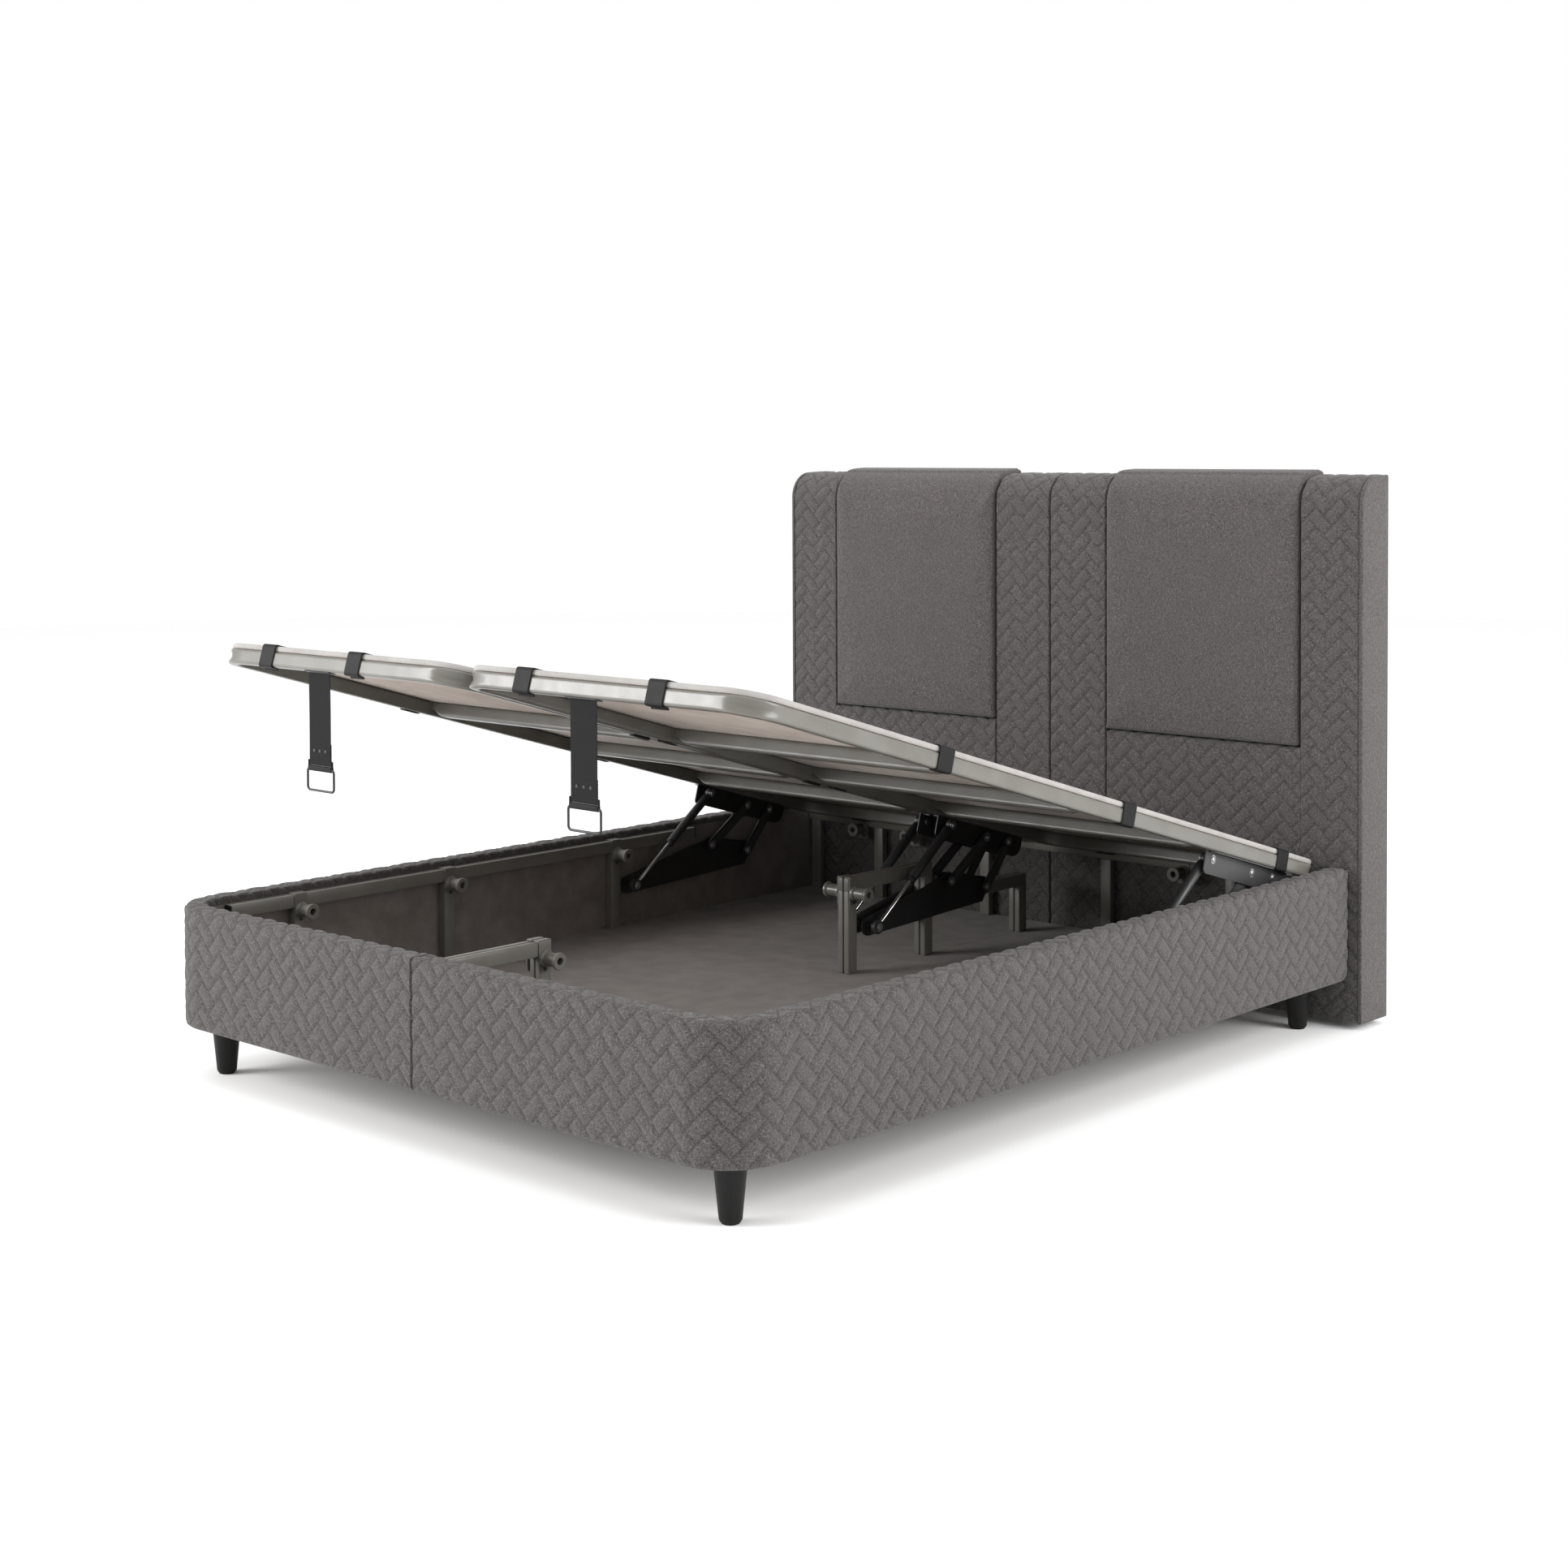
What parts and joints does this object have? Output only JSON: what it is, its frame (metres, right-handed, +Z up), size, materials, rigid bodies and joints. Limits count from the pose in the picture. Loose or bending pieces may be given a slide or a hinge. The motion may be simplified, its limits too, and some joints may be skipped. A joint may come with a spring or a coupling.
{
  "type": "adjustable bed base",
  "caption": "Upholstered storage bed base with a tall headboard and two half platforms that lift at the foot on arm linkages and gas struts.",
  "frame": {"origin": "under the middle of the whole bed's bounding box, on the floor", "axes": "+Z up, +Y from the foot to the headboard, +X to the right for someone who stands at the foot and faces the headboard"},
  "size_m": [1.768, 2.1704, 1.289],
  "materials": {
    "upholstery": "melange woven polyester, quilted",
    "coated_steel": "gloss powder coat, warm grey",
    "board": "fabric covered board",
    "black_steel": "satin black powder coat",
    "bright_steel": "hard chromed rod",
    "webbing": "heavy woven polypropylene webbing"
  },
  "bodies": {
    "root": {"skirt_left": "upholstery", "floor_board_left": "board", "side_frame_left": "coated_steel", "hook_bracket_left_1": "coated_steel", "hook_bracket_left_2": "coated_steel", "hook_bracket_left_3": "coated_steel", "headboard_inner_strip_left": "upholstery", "headboard_outer_strip_left": "upholstery", "headboard_pad_left": "upholstery", "base_plate_left_outer": "black_steel", "base_plate_left_inner": "black_steel", "skirt_right": "upholstery", "floor_board_right": "board", "side_frame_right": "coated_steel", "hook_bracket_right_1": "coated_steel", "hook_bracket_right_2": "coated_steel", "hook_bracket_right_3": "coated_steel", "headboard_inner_strip_right": "upholstery", "headboard_outer_strip_right": "upholstery", "headboard_pad_right": "upholstery", "base_plate_right_outer": "black_steel", "base_plate_right_inner": "black_steel", "headboard_core": "upholstery", "center_frame_foot": "coated_steel", "center_frame_head": "coated_steel", "leg_foot_left": "black_steel", "leg_foot_right": "black_steel", "leg_head_left": "black_steel", "leg_head_right": "black_steel", "leg_center": "black_steel"},
    "left_platform": {"platform_frame_left": "coated_steel", "platform_board_left": "board", "platform_plate_left_outer": "black_steel", "platform_plate_left_inner": "black_steel"},
    "left_front_arms": {"front_arm_left_outer": "black_steel", "front_arm_left_inner": "black_steel"},
    "left_rear_arms": {"rear_arm_left_outer": "black_steel", "rear_arm_left_inner": "black_steel"},
    "left_strut_tubes": {"gas_strut_left_outer_tube": "black_steel", "gas_strut_left_inner_tube": "black_steel"},
    "left_strut_rods": {"gas_strut_left_outer_rod": "bright_steel", "gas_strut_left_inner_rod": "bright_steel"},
    "left_strap": {"pull_strap_left": "webbing", "strap_slide_left": "black_steel"},
    "left_loop": {"pull_loop_left": "black_steel"},
    "right_platform": {"platform_frame_right": "coated_steel", "platform_board_right": "board", "platform_plate_right_outer": "black_steel", "platform_plate_right_inner": "black_steel"},
    "right_front_arms": {"front_arm_right_outer": "black_steel", "front_arm_right_inner": "black_steel"},
    "right_rear_arms": {"rear_arm_right_outer": "black_steel", "rear_arm_right_inner": "black_steel"},
    "right_strut_tubes": {"gas_strut_right_outer_tube": "black_steel", "gas_strut_right_inner_tube": "black_steel"},
    "right_strut_rods": {"gas_strut_right_outer_rod": "bright_steel", "gas_strut_right_inner_rod": "bright_steel"},
    "right_strap": {"pull_strap_right": "webbing", "strap_slide_right": "black_steel"},
    "right_loop": {"pull_loop_right": "black_steel"}
  },
  "joints": [
    {"name": "left_lift", "type": "hinge", "parent": "root", "child": "left_platform", "pos_m": [0, 0.86957, 0.44781], "axis": [-1, 0, 0], "range_deg": [-16.09, 0]},
    {"name": "left_front_arm_swing", "type": "hinge", "parent": "root", "child": "left_front_arms", "pos_m": [0, 0.52663, 0.30483], "axis": [1, 0, 0], "range_deg": [-21.67, 0.5]},
    {"name": "left_rear_arm_swing", "type": "hinge", "parent": "root", "child": "left_rear_arms", "pos_m": [0, 0.66168, 0.27361], "axis": [1, 0, 0], "range_deg": [-17.96, 0.5]},
    {"name": "left_strut_swing", "type": "hinge", "parent": "left_platform", "child": "left_strut_tubes", "pos_m": [0, 0.5068, 0.4445], "axis": [1, 0, 0], "range_deg": [-33.61, 0.5]},
    {"name": "left_strut_stroke", "type": "slide", "parent": "left_strut_tubes", "child": "left_strut_rods", "axis": [0, -0.7986, -0.6018], "range_m": [-0.03598, 0.001]},
    {"name": "left_strap_swing", "type": "hinge", "parent": "left_platform", "child": "left_strap", "pos_m": [0, -0.968, 0.88454], "axis": [1, 0, 0], "range_deg": [-1, 25.14]},
    {"name": "left_loop_swing", "type": "hinge", "parent": "left_strap", "child": "left_loop", "pos_m": [0, -0.968, 0.68614], "axis": [1, 0, 0], "range_deg": [-60, 60]},
    {"name": "right_lift", "type": "hinge", "parent": "root", "child": "right_platform", "pos_m": [0, 0.86957, 0.44781], "axis": [-1, 0, 0], "range_deg": [-16.09, 0]},
    {"name": "right_front_arm_swing", "type": "hinge", "parent": "root", "child": "right_front_arms", "pos_m": [0, 0.52663, 0.30483], "axis": [1, 0, 0], "range_deg": [-21.67, 0.5]},
    {"name": "right_rear_arm_swing", "type": "hinge", "parent": "root", "child": "right_rear_arms", "pos_m": [0, 0.66168, 0.27361], "axis": [1, 0, 0], "range_deg": [-17.96, 0.5]},
    {"name": "right_strut_swing", "type": "hinge", "parent": "right_platform", "child": "right_strut_tubes", "pos_m": [0, 0.5068, 0.4445], "axis": [1, 0, 0], "range_deg": [-33.61, 0.5]},
    {"name": "right_strut_stroke", "type": "slide", "parent": "right_strut_tubes", "child": "right_strut_rods", "axis": [0, -0.7986, -0.6018], "range_m": [-0.03598, 0.001]},
    {"name": "right_strap_swing", "type": "hinge", "parent": "right_platform", "child": "right_strap", "pos_m": [0, -0.968, 0.88454], "axis": [1, 0, 0], "range_deg": [-1, 25.14]},
    {"name": "right_loop_swing", "type": "hinge", "parent": "right_strap", "child": "right_loop", "pos_m": [0, -0.968, 0.68614], "axis": [1, 0, 0], "range_deg": [-60, 60]}
  ],
  "couplings": [
    {"joint": "left_front_arm_swing", "follows": "left_lift", "ratio": 1.3158},
    {"joint": "left_rear_arm_swing", "follows": "left_lift", "ratio": 1.0851},
    {"joint": "left_strut_swing", "follows": "left_lift", "ratio": 2.058},
    {"joint": "left_strut_stroke", "follows": "left_lift", "m_per_rad": 0.12458},
    {"joint": "left_strap_swing", "follows": "left_lift", "ratio": -1.5},
    {"joint": "right_front_arm_swing", "follows": "right_lift", "ratio": 1.3158},
    {"joint": "right_rear_arm_swing", "follows": "right_lift", "ratio": 1.0851},
    {"joint": "right_strut_swing", "follows": "right_lift", "ratio": 2.058},
    {"joint": "right_strut_stroke", "follows": "right_lift", "m_per_rad": 0.12458},
    {"joint": "right_strap_swing", "follows": "right_lift", "ratio": -1.5}
  ]
}
